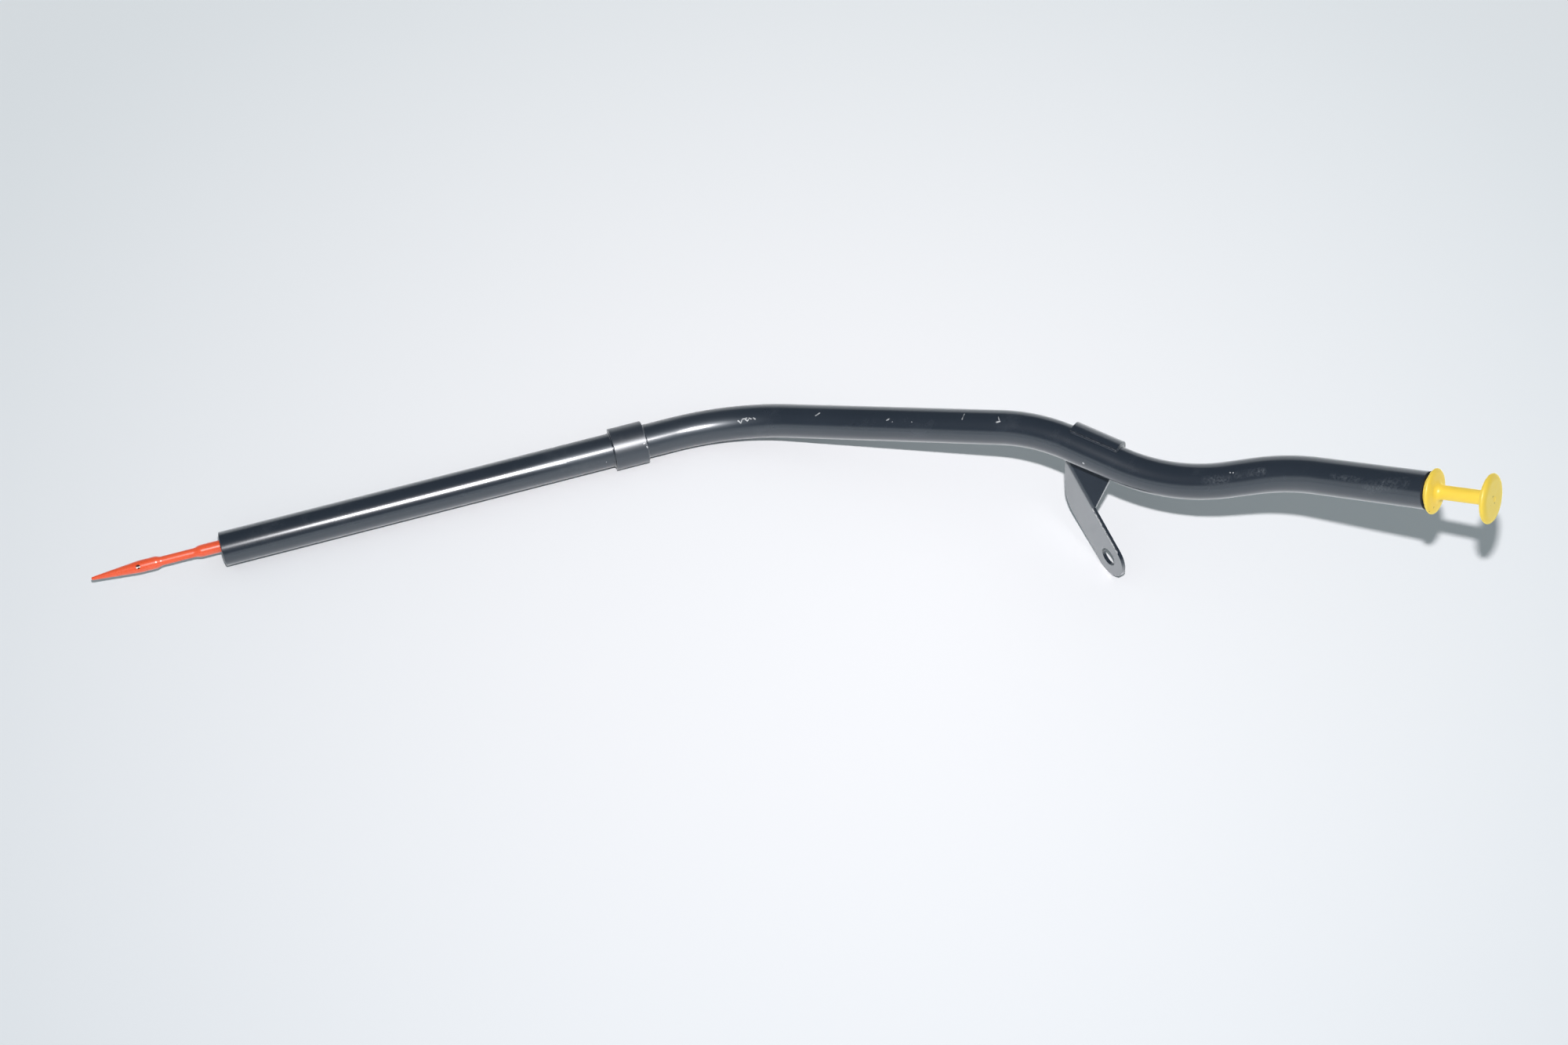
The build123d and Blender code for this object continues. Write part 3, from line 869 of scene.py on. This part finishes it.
def yellowPlastic():
    look = yellowLook
    material, tree, shader, place = newMaterial("yellowPlastic")
    cloud = cloudy(tree, place, *look["cloud"])
    fine = cloudy(tree, place, *look["fine"])
    along = vector(tree, "DOT_PRODUCT", vector(tree, "SUBTRACT", place, mouth), mouthDir)
    face = rescale(tree, along, *(edge * mm for edge in look["face"]))  # the outer face is paler and less yellow, in patches
    face = times(tree, face, patchy(tree, place, *look["facePatches"]))
    torn = ragged(tree, place, *look["torn"])
    spots = [streak(tree, torn, *spot) for spot in look["spots"]]
    spots = strongest(tree, spots + [flecks(tree, place, *look["flecks"])])
    colour = mixed(tree, cloud, look["deep"], look["pale"])
    colour = mixed(tree, face, colour, look["mouthShadeAndFaceTone"])
    colour = mixed(tree, times(tree, spots, look["dirtShare"]), colour, look["dirt"])
    tree.links.new(colour, shader.inputs["Base Color"])
    gloss = rescale(tree, fine, *noiseRange, *look["roughness"])
    gloss = plus(tree, gloss, times(tree, face, look["faceDull"]))
    tree.links.new(gloss, shader.inputs["Roughness"])
    shader.inputs["Sheen Weight"].default_value = look["sheen"]  # scuffed plastic is paler at a slant
    shader.inputs["Sheen Roughness"].default_value = look["sheenRoughness"]
    shader.inputs["Sheen Tint"].default_value = (*look["sheenTint"], 1)
    rough(tree, shader, plus(tree, times(tree, cloud, look["cloudHeight"]), fine), *look["bump"])
    return material


orangeLook = {
    "deep": (0.96, 0.098, 0.026), "pale": (1.0, 0.145, 0.048), "dirt": (0.16, 0.02, 0.01), "dirtShare": 0.6,
    "bounce": (0.42, 0.34, 0.32), "roughness": (0.24, 0.38), "coat": 0.75, "coatRoughness": 0.30,
    "waistIn": (31.0, 33.0), "waistOut": (48.0, 46.4), "waistCoat": 0.35, "waistDull": 0.12,
    "cloud": (90, 4), "fine": (1500, 3), "flecks": (420, 0.06, 0.05), "dimples": (700, 2),
    "bump": (0.05, 0.4), "dimpleHeight": 0.5, "waistHeight": 2.5, "fineHeight": 0.3,
}


def orangePlastic():
    look = orangeLook
    material, tree, shader, place = newMaterial("orangePlastic")
    cloud = cloudy(tree, place, *look["cloud"])
    fine = cloudy(tree, place, *look["fine"])
    along = vector(tree, "DOT_PRODUCT", vector(tree, "SUBTRACT", place, tipPoint), lowerDir)
    waistIn = rescale(tree, along, *(edge * mm for edge in look["waistIn"]))
    waistOut = rescale(tree, along, *(edge * mm for edge in look["waistOut"]))
    waist = times(tree, waistIn, waistOut)  # the dimpled stretch between the two thicker ones
    colour = mixed(tree, cloud, look["deep"], look["pale"])
    specks = flecks(tree, place, *look["flecks"])
    colour = mixed(tree, times(tree, specks, look["dirtShare"]), colour, look["dirt"])
    path = tree.nodes.new("ShaderNodeLightPath")  # its bounce on the floor stays faint, as the photo shows
    colour = mixed(tree, path.outputs["Is Diffuse Ray"], colour, look["bounce"])
    tree.links.new(colour, shader.inputs["Base Color"])
    gloss = rescale(tree, fine, *noiseRange, *look["roughness"])
    gloss = plus(tree, gloss, times(tree, waist, look["waistDull"]))
    tree.links.new(gloss, shader.inputs["Roughness"])
    glaze = rescale(tree, waist, 0, 1, look["coat"], look["waistCoat"])
    tree.links.new(glaze, shader.inputs["Coat Weight"])
    shader.inputs["Coat Roughness"].default_value = look["coatRoughness"]
    deep = plus(tree, times(tree, waist, look["waistHeight"]), look["dimpleHeight"])
    dimples = times(tree, cloudy(tree, place, *look["dimples"]), deep)
    rough(tree, shader, plus(tree, dimples, times(tree, fine, look["fineHeight"])), *look["bump"])
    return material


steelLook = {
    "dark": (0.14, 0.135, 0.125), "light": (0.52, 0.51, 0.49), "roughness": (0.16, 0.34), "metal": 1.0,
    "cloud": (420, 4), "fine": (3500, 2), "bump": (0.01, 0.3),
}
rubberLook = {
    "dark": (0.010, 0.010, 0.011), "light": (0.030, 0.030, 0.031), "roughness": (0.50, 0.72), "metal": 0.0,
    "cloud": (300, 4), "fine": (2400, 3), "bump": (0.02, 0.4),
}


def plainFinish(name, look):  # clouded, with a fine grain
    material, tree, shader, place = newMaterial(name)
    cloud = cloudy(tree, place, *look["cloud"])
    fine = cloudy(tree, place, *look["fine"])
    tree.links.new(mixed(tree, cloud, look["dark"], look["light"]), shader.inputs["Base Color"])
    shader.inputs["Metallic"].default_value = look["metal"]
    tree.links.new(rescale(tree, fine, *noiseRange, *look["roughness"]), shader.inputs["Roughness"])
    rough(tree, shader, fine, *look["bump"])
    return material


tubePaint = blackPaint("tubePaint", mouthShadeAndHeat=True)
bracketPaint = blackPaint("bracketPaint", paintReflections=True)
beadPaint = blackPaint("beadPaint")
collarPaint = blackPaint("collarPaint", dull=True)
yellow = yellowPlastic()
orange = orangePlastic()
steel = plainFinish("wireSteel", steelLook)
rubber = plainFinish("sealRubber", rubberLook)
print("finishes mixed")

finishes = [
    (tubePaint, [tube, nodes["guide_tube"]]),
    (collarPaint, [collar, nodes["stop_collar"]]),
    (beadPaint, beads),
    (bracketPaint, [bracket, nodes["bracket"]]),
    (steel, wires + [nodes["stick_cable"]]),
    (yellow, [spool, nodes["handle"]]),
    (orange, [tip, nodes["tip"]]),
    (rubber, [nodes["seal_ring_upper"], nodes["seal_ring_lower"]]),
]
for material, pieces in finishes:
    for piece in pieces:
        piece.data.materials.clear()
        piece.data.materials.append(material)
print("finishes given")

for piece in [tube, collar, bracket, spool, tip] + beads + wires:
    print(piece.name, sum(len(face.vertices) - 2 for face in piece.data.polygons), "triangles")
